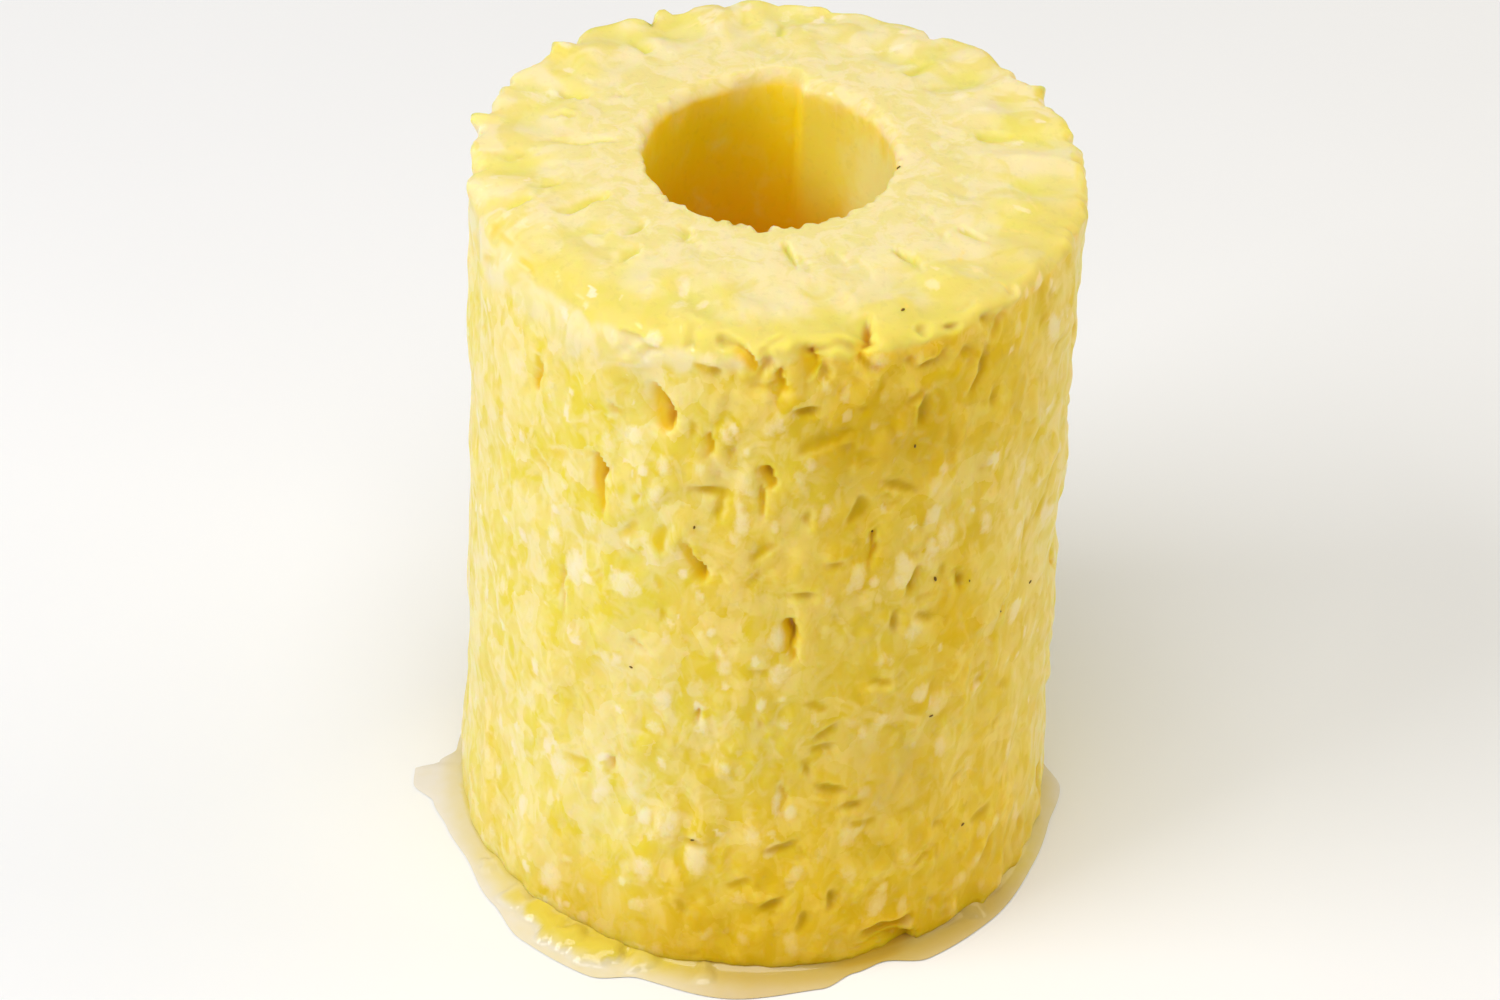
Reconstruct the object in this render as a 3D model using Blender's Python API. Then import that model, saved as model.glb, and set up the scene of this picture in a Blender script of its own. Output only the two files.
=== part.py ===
"""A peeled and cored pineapple: one thick-walled cylinder of fresh flesh, standing on its cut foot.

The flesh is drawn as a smooth ring first: rings of points run up the outer wall, over the rounded
rim, across the top face, down the bore and back under the foot. Every point is then pushed by
relief that depends on where it sits: lumps, crags and pits on the wall, a ragged rim, radial
grooves on the top face, and a stepped recess in the back of the bore.
"""

import math
from collections import namedtuple

import bmesh
import bpy
from mathutils import Vector, noise

# Driving dimensions, in metres
OUTER_RADIUS = 0.0445
HEIGHT = 0.1165
BORE_RADIUS = 0.0183
BORE_CENTRE = Vector((-0.0018, 0.0035, 0.0))
MM = 0.001

# The rim is worn round, most of all at the front, and the foot spreads a little
RIM_ROUNDING = 0.0018
FRONT_ROUNDING = 0.0014
FOOT_SPREAD = 0.0011
FOOT_SPREAD_HEIGHT = 0.034
FOOT_TUCK = 0.0007
FOOT_TUCK_HEIGHT = 0.0022

# Lumps and crags of the wall: how far one reaches, how much taller than wide it is, how deep
LUMP_SIZE = 0.0085
LUMP_STRETCH = 1.9
LUMP_DEPTH = 0.0009
CRAG_SIZE = 0.0042
CRAG_STRETCH = 1.8
CRAG_DEPTH = 0.0010

# The ragged band just under the rim, and the lobes of the top face
RAGGED_BAND = 0.0065
RAGGED_SIZE = 0.0040
RAGGED_DEPTH = 0.0022
LOBE_SIZE = 0.0062
LOBE_DEPTH = 0.0011
GROOVES_ROUND = 3.4
GROOVE_DEPTH = 0.0010

# The bore: slow waves, and a recess where the corer went in a second time
BORE_WAVE_SIZE = 0.012
BORE_WAVE_DEPTH = 0.0004
BORE_LIP_SIZE = 0.0030
BORE_LIP_DEPTH = 0.0008
RECESS_START = math.radians(84.0)
RECESS_END = math.radians(110.0)
RECESS_START_EDGE = math.radians(5.0)
RECESS_END_EDGE = math.radians(14.0)
RECESS_DEPTH = 0.0029
RECESS_REACH = 0.042

# How densely the smooth ring is drawn
COLUMNS = 94
WALL_ROWS = 33
RIM_ROWS = 3
TOP_RINGS = 8
BORE_ROWS = 5
PIT_MARGIN = 1.5

FLESH_COLOUR = (0.86, 0.72, 0.20, 1.0)
FLESH_ROUGHNESS = 0.32

# A pit: where its middle is, how wide, tall and deep it is, and how far its foot leans to the right
Pit = namedtuple("Pit", "degrees height width length depth lean")

# The pits of the shown side, with heights and sizes in millimetres
SHOWN_PITS = (
    Pit(-137, 101.0, 3.0, 7.0, 1.8, 0),
    Pit(-110, 104.5, 4.6, 9.0, 3.0, 25),
    Pit(-122, 89.0, 3.4, 12.0, 3.0, 0),
    Pit(-101, 100.0, 2.8, 6.0, 2.0, -10),
    Pit(-90, 92.5, 3.2, 10.0, 3.0, 5),
    Pit(-103, 79.0, 4.2, 8.0, 2.8, 35),
    Pit(-96, 112.5, 3.6, 7.0, 2.2, 30),
    Pit(-84, 66.0, 3.6, 9.5, 3.4, 0),
    Pit(-69, 81.0, 3.0, 8.5, 2.2, -8),
    Pit(-86, 111.0, 2.6, 6.0, 2.0, 0),
    Pit(-73, 112.5, 4.4, 9.5, 3.2, -12),
    Pit(-129, 65.5, 2.8, 10.0, 1.6, 0),
    Pit(-100, 50.5, 2.6, 5.0, 1.3, 0),
    Pit(-118, 36.5, 2.6, 5.0, 1.3, 0),
    Pit(-84, 35.5, 3.0, 6.0, 1.3, 0),
    Pit(-60, 3.0, 6.5, 5.0, 1.8, 0),
    Pit(-37, 58.0, 3.0, 8.0, 1.4, -10),
)

# The pits of the side turned away, one for each cut fruitlet: they climb by the golden angle
HIDDEN_PITS = 22
GOLDEN_ANGLE = 137.508
HIDDEN_FROM = -10.0
HIDDEN_TO = 190.0

# Pits of the top face: how far round, how far out, how wide, long and deep, in millimetres
TopPit = namedtuple("TopPit", "degrees radius width length depth")
TOP_PITS = (
    TopPit(-157, 29.0, 2.6, 8.0, 1.5),
    TopPit(-164, 38.5, 3.0, 8.0, 1.4),
    TopPit(171, 28.0, 2.4, 12.0, 0.9),
    TopPit(-137, 26.0, 2.8, 6.0, 1.0),
    TopPit(-122, 22.5, 2.6, 5.0, 1.0),
    TopPit(-81, 23.5, 2.4, 6.0, 1.2),
    TopPit(-48, 30.0, 2.6, 6.0, 1.3),
    TopPit(148, 35.0, 3.6, 8.0, 1.3),
    TopPit(122, 37.5, 3.4, 7.0, 1.2),
    TopPit(88, 38.0, 3.4, 8.0, 1.2),
    TopPit(52, 36.0, 3.6, 9.0, 1.4),
    TopPit(17, 35.0, 3.4, 8.0, 1.2),
)


def clear_scene():
    for old in list(bpy.data.objects):
        bpy.data.objects.remove(old, do_unlink=True)


def ease(start, end, value):
    """0 at start, 1 at end, with a smooth run between them."""
    share = min(max((value - start) / (end - start), 0.0), 1.0)
    return share * share * (3.0 - 2.0 * share)


def turn_between(angle, other):
    """The signed turn from one angle to another, at most half a turn."""
    return (angle - other + math.pi) % (2.0 * math.pi) - math.pi


def hidden_pits():
    """Pits for the far side, a golden angle apart, with sizes that vary from one to the next."""
    pits = []
    step = 0
    while len(pits) < HIDDEN_PITS:
        step += 1
        degrees = (step * GOLDEN_ANGLE) % 360.0 - 90.0
        if not HIDDEN_FROM < degrees < HIDDEN_TO:
            continue
        vary = noise.noise(Vector((step * 0.37, 0.0, 4.0)))
        height = 8.0 + (step * 41.0) % 102.0
        pits.append(Pit(degrees, height, 3.2 + vary, 7.5 + 3.0 * vary, 1.9 + 1.2 * vary, 30.0 * vary))
    return pits


def pit_reach(across, along, pit):
    """0 in the middle of a pit and 1 on its oval edge."""
    return math.hypot(across / (0.5 * pit.width * MM), along / (0.5 * pit.length * MM))


def pit_falloff(reach):
    """1 in the middle of a pit and 0 from its edge out."""
    return 1.0 - ease(0.25, 1.0, reach)


def wall_pit_reach(angle, height, pit):
    """How far this place of the wall is from the middle of a pit, which may lean."""
    round_way = turn_between(angle, math.radians(pit.degrees)) * OUTER_RADIUS
    up_way = height - pit.height * MM
    lean = math.radians(pit.lean)
    across = round_way * math.cos(lean) + up_way * math.sin(lean)
    along = up_way * math.cos(lean) - round_way * math.sin(lean)
    return pit_reach(across, along, pit)


def wall_pit_depth(angle, height, pits):
    """How deep the wall's pits reach at this place."""
    depths = [pit.depth * MM * pit_falloff(wall_pit_reach(angle, height, pit)) for pit in pits]
    return max(depths)


def top_pit_depth(angle, radius):
    """How deep the slits of the top face reach at this place."""
    depth = 0.0
    for pit in TOP_PITS:
        across = turn_between(angle, math.radians(pit.degrees)) * pit.radius * MM
        along = radius - pit.radius * MM
        depth = max(depth, pit.depth * MM * pit_falloff(pit_reach(across, along, pit)))
    return depth


def stretched_noise(angle, height, size, stretch):
    """Smooth noise on the wall whose lumps are taller than they are wide."""
    place = Vector((OUTER_RADIUS * math.cos(angle), OUTER_RADIUS * math.sin(angle), height / stretch))
    return noise.noise(place / size)


def wall_push(angle, height, pits):
    """How far the wall stands out from the plain cylinder."""
    push = FOOT_SPREAD * (1.0 - ease(0.0, FOOT_SPREAD_HEIGHT, height))
    push -= FOOT_TUCK * (1.0 - ease(0.0, FOOT_TUCK_HEIGHT, height))
    push += LUMP_DEPTH * stretched_noise(angle, height, LUMP_SIZE, LUMP_STRETCH)
    push += CRAG_DEPTH * stretched_noise(angle, height, CRAG_SIZE, CRAG_STRETCH)
    near_rim = ease(HEIGHT - RAGGED_BAND, HEIGHT, height)
    push -= RAGGED_DEPTH * near_rim * abs(stretched_noise(angle, height, RAGGED_SIZE, 1.0))
    return push - wall_pit_depth(angle, height, pits)


def top_push(angle, radius, share):
    """How far the top face stands up from the plain level: smooth by the bore, lobed near the rim."""
    outward = ease(0.15, 0.75, share)
    place = Vector((radius * math.cos(angle), radius * math.sin(angle), 0.0))
    lobes = noise.noise(place / LOBE_SIZE)
    grooves = abs(noise.noise(Vector((angle * GROOVES_ROUND, radius / (4.0 * LOBE_SIZE), 9.0))))
    push = outward * (LOBE_DEPTH * lobes - GROOVE_DEPTH * grooves)
    return push - top_pit_depth(angle, radius)


def bore_push(angle, height):
    """How far the bore's wall lies outside the plain bore."""
    place = Vector((math.cos(angle), math.sin(angle), 0.0)) * BORE_RADIUS
    place.z = height / LUMP_STRETCH
    push = BORE_WAVE_DEPTH * noise.noise(place / BORE_WAVE_SIZE)
    below = HEIGHT - height
    lip = 1.0 - ease(0.0, BORE_LIP_SIZE, below)
    push += BORE_LIP_DEPTH * lip * abs(noise.noise(place / BORE_LIP_SIZE))
    start = ease(RECESS_START - RECESS_START_EDGE, RECESS_START, angle)
    end = 1.0 - ease(RECESS_END, RECESS_END + RECESS_END_EDGE, angle)
    return push + RECESS_DEPTH * start * end * (1.0 - ease(0.0, RECESS_REACH, below))


def stations():
    """Where the rings lie: how far out from bore to wall, and how high, once round the section."""
    thickness = OUTER_RADIUS - BORE_RADIUS
    rounding = RIM_ROUNDING / thickness
    shoulder = HEIGHT - RIM_ROUNDING
    places = [(1.0, shoulder * row / WALL_ROWS) for row in range(WALL_ROWS + 1)]
    for row in range(1, RIM_ROWS + 1):
        turn = 0.5 * math.pi * row / RIM_ROWS
        places.append((1.0 - rounding * (1.0 - math.cos(turn)), shoulder + RIM_ROUNDING * math.sin(turn)))
    for ring in range(1, TOP_RINGS + 1):
        places.append(((1.0 - rounding) * (1.0 - ring / TOP_RINGS), HEIGHT))
    for row in range(1, BORE_ROWS + 1):
        places.append((0.0, HEIGHT * (1.0 - row / BORE_ROWS)))
    return places


def smooth_ring(bm, share_layer):
    """The plain ring with its off-centre bore, as quads all the way round its section."""
    rings = []
    for share, height in stations():
        ring = []
        for column in range(COLUMNS):
            angle = 2.0 * math.pi * column / COLUMNS
            radius = BORE_RADIUS + share * (OUTER_RADIUS - BORE_RADIUS)
            place = BORE_CENTRE * (1.0 - share) + Vector((math.cos(angle), math.sin(angle), 0.0)) * radius
            vert = bm.verts.new((place.x, place.y, height))
            vert[share_layer] = share
            ring.append(vert)
        rings.append(ring)
    for row, ring in enumerate(rings):
        above = rings[(row + 1) % len(rings)]
        for column in range(COLUMNS):
            after = (column + 1) % COLUMNS
            bm.faces.new((ring[column], ring[after], above[after], above[column]))


def refine_near_pits(bm, share_layer, pits):
    """Halve the wall's faces where a pit needs more points."""
    chosen = set()
    for face in bm.faces:
        if min(vert[share_layer] for vert in face.verts) < 1.0:
            continue
        middle = face.calc_center_median()
        angle = math.atan2(middle.y, middle.x)
        if any(wall_pit_reach(angle, middle.z, pit) < PIT_MARGIN for pit in pits):
            chosen.update(face.edges)
    bmesh.ops.subdivide_edges(bm, edges=list(chosen), cuts=1, use_grid_fill=True)


def push_points(bm, share_layer, pits):
    """Move every point of the plain ring out to the craggy surface; the foot stays flat."""
    for vert in bm.verts:
        share = vert[share_layer]
        height = vert.co.z
        middle = BORE_CENTRE * (1.0 - share)
        arm = Vector((vert.co.x - middle.x, vert.co.y - middle.y, 0.0))
        angle = math.atan2(arm.y, arm.x)
        outward = arm.normalized()
        on_wall = ease(0.86, 1.0, share)
        on_bore = 1.0 - ease(0.0, 0.14, share)
        on_top = ease(HEIGHT - 2.0 * RIM_ROUNDING, HEIGHT, height)
        front = ease(0.1, 0.9, -math.sin(angle)) * ease(0.80, 1.0, share)
        vert.co += outward * on_wall * wall_push(angle, height, pits)
        vert.co += outward * on_bore * bore_push(angle, height)
        vert.co.z += on_top * (top_push(angle, arm.length, share) - FRONT_ROUNDING * front)


def flesh_material():
    """Wet yellow flesh."""
    material = bpy.data.materials.new("pineapple_flesh")
    material.use_nodes = True
    shader = material.node_tree.nodes["Principled BSDF"]
    shader.inputs["Base Color"].default_value = FLESH_COLOUR
    shader.inputs["Roughness"].default_value = FLESH_ROUGHNESS
    shader.inputs["Metallic"].default_value = 0.0
    return material


def pineapple_flesh():
    """The whole fruit cylinder as one closed solid."""
    pits = list(SHOWN_PITS) + hidden_pits()
    bm = bmesh.new()
    share_layer = bm.verts.layers.float.new("share")
    smooth_ring(bm, share_layer)
    refine_near_pits(bm, share_layer, pits)
    push_points(bm, share_layer, pits)
    bmesh.ops.triangulate(bm, faces=[face for face in bm.faces if len(face.verts) > 3])
    bmesh.ops.recalc_face_normals(bm, faces=bm.faces)
    mesh = bpy.data.meshes.new("pineapple_flesh")
    bm.to_mesh(mesh)
    bm.free()
    mesh.shade_smooth()
    mesh.materials.append(flesh_material())
    flesh = bpy.data.objects.new("pineapple_flesh", mesh)
    bpy.context.scene.collection.objects.link(flesh)
    return flesh


def main():
    clear_scene()
    pineapple_flesh()


main()
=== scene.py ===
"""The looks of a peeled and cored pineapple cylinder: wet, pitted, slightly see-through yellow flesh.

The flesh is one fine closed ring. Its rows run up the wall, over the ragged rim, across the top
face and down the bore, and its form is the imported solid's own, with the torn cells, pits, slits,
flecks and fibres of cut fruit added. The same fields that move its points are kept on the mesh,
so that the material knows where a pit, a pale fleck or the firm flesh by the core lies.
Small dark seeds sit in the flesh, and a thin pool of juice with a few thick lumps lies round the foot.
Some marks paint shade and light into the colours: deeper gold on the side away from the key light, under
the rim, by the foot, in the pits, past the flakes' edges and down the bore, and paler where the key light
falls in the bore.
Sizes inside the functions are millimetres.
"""

import math
from collections import namedtuple

import bmesh
import bpy
import numpy as np
from mathutils import Matrix, Vector, noise


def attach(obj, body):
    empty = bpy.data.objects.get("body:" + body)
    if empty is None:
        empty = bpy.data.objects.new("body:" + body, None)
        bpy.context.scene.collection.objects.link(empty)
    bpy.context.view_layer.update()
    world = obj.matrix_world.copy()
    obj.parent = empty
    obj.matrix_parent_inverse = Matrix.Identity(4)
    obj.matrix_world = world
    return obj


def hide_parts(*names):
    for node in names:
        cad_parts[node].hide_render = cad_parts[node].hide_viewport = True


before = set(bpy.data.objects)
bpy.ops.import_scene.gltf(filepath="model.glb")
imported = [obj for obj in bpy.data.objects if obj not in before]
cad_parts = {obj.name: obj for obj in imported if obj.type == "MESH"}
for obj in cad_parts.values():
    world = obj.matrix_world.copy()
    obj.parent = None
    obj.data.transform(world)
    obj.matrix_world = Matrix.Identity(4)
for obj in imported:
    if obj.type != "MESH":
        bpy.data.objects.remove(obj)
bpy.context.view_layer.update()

# The fruit's driving sizes in millimetres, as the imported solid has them
MM = 0.001
OUTER_RADIUS = 44.5
HEIGHT = 116.5
BORE_RADIUS = 18.3
BORE_X = -1.8
BORE_Y = 3.5
THICKNESS = OUTER_RADIUS - BORE_RADIUS
RIM_ROUNDING = 1.5
WORN_ROUNDING = 6.0
BORE_ROUNDING = 0.8
BACK_BORE_ROUNDING = 1.4
FOOT_SPREAD = 1.1
FOOT_SPREAD_HEIGHT = 34.0
FOOT_TUCK = 0.7
FOOT_TUCK_HEIGHT = 2.2

# How densely the ring is drawn; the columns crowd towards the side with the known pits
COLUMNS = 390
FRONT_CROWDING = 0.3
WALL_ROWS = 180
RIM_ROWS = 26
RIM_REACH = 6.5
TOP_ROWS = 28
BORE_EDGE_ROWS = 12
BORE_EDGE_REACH = 2.4
BORE_ROWS = 9

# Juice sacs of the skin, how many of them are dense and pale, and the torn flakes over them
SACS = 5200
SAC_WIDTHS = (0.75, 1.0, 1.3, 1.8)
SAC_WIDTH_SHARES = (0.35, 0.35, 0.22, 0.08)
DENSE_SHARE = 0.12
FLAKES = 520
FLAKE_SPACING = 3.6
FLAKE_FACINGS = (0.0, -90.0, 90.0, 180.0)
FLAKE_FACING_SHARES = (0.42, 0.33, 0.15, 0.1)
FLAKE_HALVES = (0.9, 1.5, 2.4)
FLAKE_HALF_SHARES = (0.4, 0.4, 0.2)
TOP_CALM = 0.4
TOP_FRONT_ROUGH = 12.0

# How many pits the unseen side has, which climb by the golden angle, small pits and dents of the top
GOLDEN_ANGLE = 137.508
PITS_BEHIND = 22
PITS_BEHIND_CLIMB = 41.0
SMALL_PITS = 90
TOP_DENTS = 34

# Depth at which a pit has its full painted shade, and how much taller than wide the solid's lumps are
FULL_PIT = 2.2
LUMP_STRETCH = 1.9

# Starts of the random draws, one for each kind of thing
RIM_DRAW = 17
FLESH_DRAW = 6
SEED_DRAW = 29

# Where the top face and the bore start along the section, counted from the foot's edge
TOP_START = HEIGHT
BORE_START = HEIGHT + THICKNESS

Pit = namedtuple("Pit", "degrees walk width length depth lean blunt", defaults=(1,))
Flake = namedtuple("Flake", "degrees walk facing half gap drop")


def top_walk(radius):
    """How far along the section a place on the top face lies, from its distance to the middle."""
    return TOP_START + OUTER_RADIUS - radius


# The pits that the shown side has, from the rim down; a positive lean carries the foot to the right,
# and the blunt end is 1 at the top and -1 at the foot
SHOWN_PITS = [Pit(*row) for row in (
    (-138.5, 99.2, 2.4, 7.0, 1.8, 0, -1), (-111, 102.8, 4.4, 8.5, 3.0, 22, -1),
    (-122.5, 85.5, 3.2, 11.5, 2.9, 6), (-101.5, 97.7, 1.7, 5.5, 1.8, -8),
    (-90.5, 93.4, 3.0, 4.5, 3.2, 0), (-91, 88.7, 1.2, 7.0, 1.8, 0),
    (-103.5, 77.1, 3.0, 8.0, 2.6, 30, -1), (-96, 114.6, 3.0, 7.5, 2.2, 40, -1),
    (-84.5, 64.1, 2.6, 8.5, 3.4, 4), (-70, 79.1, 1.7, 8.0, 2.0, -6),
    (-89, 109.7, 2.0, 6.0, 2.0, -6), (-84, 113.8, 4.0, 6.5, 2.8, 0),
    (-73.5, 117.6, 3.8, 9.5, 3.6, -22), (-131, 62.9, 1.6, 10.0, 1.2, 0),
    (-101, 48.4, 1.4, 3.6, 1.3, 0), (-118.5, 34.6, 1.4, 4.0, 1.2, 0),
    (-112.5, 58.4, 1.2, 5.0, 0.9, 60), (-84.5, 34.3, 1.6, 5.0, 1.2, 0),
    (-64, 1.4, 14.0, 5.5, 2.4, 0), (-38, 57.4, 1.6, 6.0, 1.3, -10), (-51, 69.1, 1.5, 6.0, 1.2, 20),
)]

# Pits of the top face, where the second number is the distance to the middle
TOP_PITS = [Pit(degrees, top_walk(radius), *rest) for degrees, radius, *rest in (
    (-153.5, 30.4, 2.4, 9.0, 2.4, 0), (-161, 39.7, 2.6, 6.0, 2.0, 0),
    (175.5, 28.3, 1.4, 13.0, 1.3, 0), (-179.5, 38.5, 1.4, 4.5, 1.5, 0),
    (-165.5, 34.0, 1.8, 5.5, 1.3, 0), (164, 32.9, 1.5, 5.0, 1.3, 0),
    (-134.5, 27.9, 2.0, 5.0, 1.5, 0), (-120.5, 24.6, 2.0, 4.0, 1.5, 20),
    (-128.5, 32.6, 2.2, 4.5, 1.6, 0), (-83, 25.5, 1.6, 6.0, 1.9, 12),
    (-51.5, 31.1, 1.8, 6.0, 1.8, 0), (151.5, 34.4, 2.8, 7.0, 1.8, 0),
    (124.5, 36.1, 2.6, 6.0, 1.7, 0), (89, 36.0, 2.6, 7.0, 1.7, 0), (51, 34.0, 2.8, 8.0, 1.9, 0),
    (14.5, 33.7, 2.6, 7.0, 1.7, 0), (-31.5, 33.3, 1.6, 5.0, 1.4, 0),
)]

# Torn flakes that show, by the way each free edge faces: 0 to the right, 90 up, 180 to the left
SHOWN_FLAKES = [Flake(*row) for row in (
    (-61, 111.3, -90, 2.2, 1.4, 1.0), (-50, 106.5, -15, 4.6, 2.0, 1.0),
    (-46, 100.1, 0, 2.8, 1.6, 0.9), (-83.5, 106.1, -90, 2.4, 1.7, 1.1),
    (-79.5, 99.3, 112, 4.6, 3.4, 0.5), (-62, 103.0, 0, 3.2, 2.4, 0.8),
    (-65, 89.1, 62, 4.0, 2.0, 0.6), (-81.5, 86.4, 180, 1.8, 1.4, 0.9),
    (-76.5, 78.3, -90, 1.8, 1.4, 1.0), (-82.5, 73.1, -90, 3.0, 1.2, 1.1),
    (-61.5, 72.1, -20, 3.4, 1.7, 1.0), (-50, 69.1, 180, 1.7, 1.2, 0.9),
    (-58, 67.7, 90, 2.2, 1.0, 0.9), (-63.5, 65.1, 180, 2.6, 1.3, 1.0),
    (-101.5, 90.9, -90, 2.6, 1.3, 1.0), (-97.5, 87.5, 170, 2.8, 1.9, 1.0),
    (-66.5, 54.4, 80, 2.6, 1.4, 1.0), (-76.5, 46.5, -60, 3.2, 1.1, 0.9),
    (-80.5, 39.3, 10, 2.2, 1.3, 0.8), (-70.5, 31.0, 90, 2.4, 1.5, 0.9),
    (-50.5, 17.2, 180, 2.2, 1.0, 0.9), (-74.5, 13.7, 0, 2.2, 2.4, 0.9),
    (-61.5, 6.6, -90, 4.6, 4.0, 1.6), (-108.5, 26.8, 180, 2.6, 1.0, 0.7),
    (-100.5, 25.2, -90, 2.6, 2.0, 0.8), (-112.5, 43.4, 85, 2.2, 1.0, 0.7),
    (-85.5, 14.1, -60, 2.4, 2.6, 0.9), (-131, 62.9, 180, 4.0, 0.9, 0.6),
)]

# Large pale sacs that show, as degrees, height, half width, half length and lean
SHOWN_FLECKS = (
    (-115, 97, 2.0, 2.0, 0), (-116, 70, 3.0, 3.0, 0), (-102, 94, 1.0, 1.5, 0),
    (-94, 87, 1.0, 4.0, 15), (-88, 85, 1.0, 1.5, 0), (-86, 58, 2.0, 2.5, 0),
    (-93, 91, 1.0, 1.0, 0), (-96, 59, 1.5, 2.0, 0), (-79, 87, 1.0, 2.5, -10),
    (-73, 74, 1.0, 2.5, -15), (-45, 78, 1.5, 3.0, 20), (-72, 75, 1.5, 3.0, 0),
    (-60, 63, 2.0, 2.5, 0), (-71, 113, 2.0, 2.0, 0), (-70, 81, 1.0, 1.0, 0),
    (-22, 68, 1.5, 2.5, 0), (-66, 100, 1.0, 1.0, 0), (-85, 33, 1.0, 3.0, 0),
    (-71, 26, 2.0, 2.5, 10), (-81, 19, 1.5, 3.0, -20), (-81, 6, 1.5, 3.0, 10),
    (-68, 34, 1.5, 1.5, 0), (-45, 9, 2.0, 2.0, -20), (-57, 5, 1.5, 1.5, 0),
    (-52, 38, 1.5, 2.5, 10), (-30, 27, 1.0, 3.0, 5), (-35, 16, 1.5, 1.5, 0),
    (-65, 47, 2.0, 1.5, 0), (-130, 30, 2.0, 3.0, 0), (-120, 29, 1.5, 3.5, -25),
    (-139, 18, 1.5, 2.5, -10), (-105, 28, 1.5, 3.0, -15), (-110, 18, 2.0, 3.0, 0),
    (-131, 6, 2.0, 1.5, 0), (-109, 45, 2.0, 1.5, -30), (-111, 10, 2.0, 1.5, 0),
)

# Nicks and spikes of the rim's outline, as degrees, width and depth; a spike's depth is negative
RIM_NICKS = (
    (59, 4.5, 1.6), (37, 3.5, 1.0), (27, 2.5, 0.8), (15, 3.0, 1.2), (6, 3.0, 1.2),
    (-6, 2.8, 0.8), (-16, 2.8, 1.1), (79, 6.0, 0.8), (119, 3.4, 2.2), (136, 3.0, 1.3),
    (155, 3.2, 1.1), (164, 2.4, 0.6), (173, 2.6, 0.8), (-176, 3.6, 1.3), (-163, 3.6, 1.0),
    (32, 2.4, -1.3), (12, 3.0, -0.5), (-10, 2.0, -0.7), (-21, 3.0, -0.9), (115, 2.4, -1.6),
    (140, 3.4, -1.3), (168, 3.2, -2.8), (-171, 10.0, -1.7), (50, 13.0, -1.1), (97, 9.0, -0.8),
    (129, 13.0, -1.7), (154, 14.0, -1.1), (178, 13.0, -1.2),
)

# Seeds that show, as degrees and way along the section, and how many more the rest has
SHOWN_SEEDS = (
    (-62, 96.5), (-69.5, 82.1), (-48, 68.2), (-38, 57.8), (-26, 57.6),
    (-56, 70.8), (-102.5, 83.7), (-114.5, 55.2), (-100.5, 25.3), (-54.5, 44.6),
    (-44, 19.0), (-7, top_walk(18.2)), (-63, top_walk(39.8)),
)
HIDDEN_SEEDS = 15
SEED_SIZES = (0.24, 0.48)

# Juice round the foot: how far out its edge lies, as degrees and distance to the middle
JUICE_COLUMNS = 600
JUICE_ROWS = 22
JUICE_UNDER = 1.6
JUICE_FILM = 0.5
JUICE_RISE = 1.1
JUICE_SHORE = OUTER_RADIUS + 0.6
JUICE_ALPHA = 0.85
JUICE_EDGE = (
    (-180, 49.3), (-178, 53.0), (-174, 53.2), (-169, 50.4), (-162, 49.4), (-153, 48.8),
    (-140, 50.5), (-130, 52.6), (-116, 53.0), (-108, 50.1), (-93, 51.3), (-76, 49.6),
    (-69, 47.4), (-63, 46.6), (-55, 49.1), (-40, 48.8), (-20, 47.7), (-10, 47.6),
    (1, 48.9), (9, 46.8), (40, 47.0), (62, 49.0), (90, 47.2), (118, 48.6),
    (150, 47.2), (176, 46.9), (180, 49.3),
)

# Thick lumps of juice against the foot, as degrees, place, size and height
JUICE_LUMPS = (
    (-148.5, 46.6, 1.8, 0.6), (-138, 47.0, 2.4, 0.8), (-131.5, 47.1, 2.9, 1.2), (-127, 48.1, 3.0, 1.3),
    (-123, 47.6, 3.2, 1.7), (-118.5, 48.8, 3.1, 1.3), (-115, 47.4, 2.8, 1.5), (-109, 47.1, 2.4, 0.8),
    (-97, 47.0, 2.0, 0.6), (-39.5, 45.8, 2.0, 0.7), (34, 46.0, 2.2, 1.0), (116, 46.2, 2.6, 1.2),
    (124, 46.4, 2.0, 0.9),
)


def ease(start, end, value):
    """0 at start, 1 at end, with a smooth run between them."""
    share = np.clip((value - start) / (end - start), 0.0, 1.0)
    return share * share * (3.0 - 2.0 * share)


def fade(start, end, value):
    """1 at start, 0 at end, with a smooth run between them."""
    return 1.0 - ease(start, end, value)


def turn_between(angle, other):
    """The signed turn from one angle to another, at most half a turn."""
    return (angle - other + math.pi) % (2.0 * math.pi) - math.pi


def degrees_from(angle, middle):
    """How many degrees an angle lies to either side of a middle one, which is in degrees."""
    return np.degrees(np.abs(turn_between(angle, math.radians(middle))))


def way_round(angle, middle, radius=OUTER_RADIUS):
    """The signed distance round the fruit from a middle, which is in degrees."""
    return turn_between(angle, math.radians(middle)) * radius


def soft_noise(x, y, z, seed):
    """Smooth noise between -1 and 1, one lump to each unit of the places given."""
    side = 32
    table = np.random.default_rng(seed).uniform(-1.0, 1.0, (side, side, side))
    low, share = [], []
    for value in np.broadcast_arrays(x, y, z):
        floor = np.floor(value)
        step = value - floor
        low.append(floor.astype(int))
        share.append(step * step * (3.0 - 2.0 * step))
    total = 0.0
    for corner in np.ndindex(2, 2, 2):
        weight = 1.0
        index = []
        for axis, up in enumerate(corner):
            weight = weight * (share[axis] if up else 1.0 - share[axis])
            index.append((low[axis] + up) % side)
        total = total + weight * table[tuple(index)]
    return total


def form_noise(x, y, z):
    """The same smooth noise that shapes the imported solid."""
    places = np.stack(np.broadcast_arrays(x, y, z), axis=-1)
    flat = [noise.noise(Vector(place)) for place in places.reshape(-1, 3)]
    return np.array(flat).reshape(places.shape[:-1])


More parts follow.
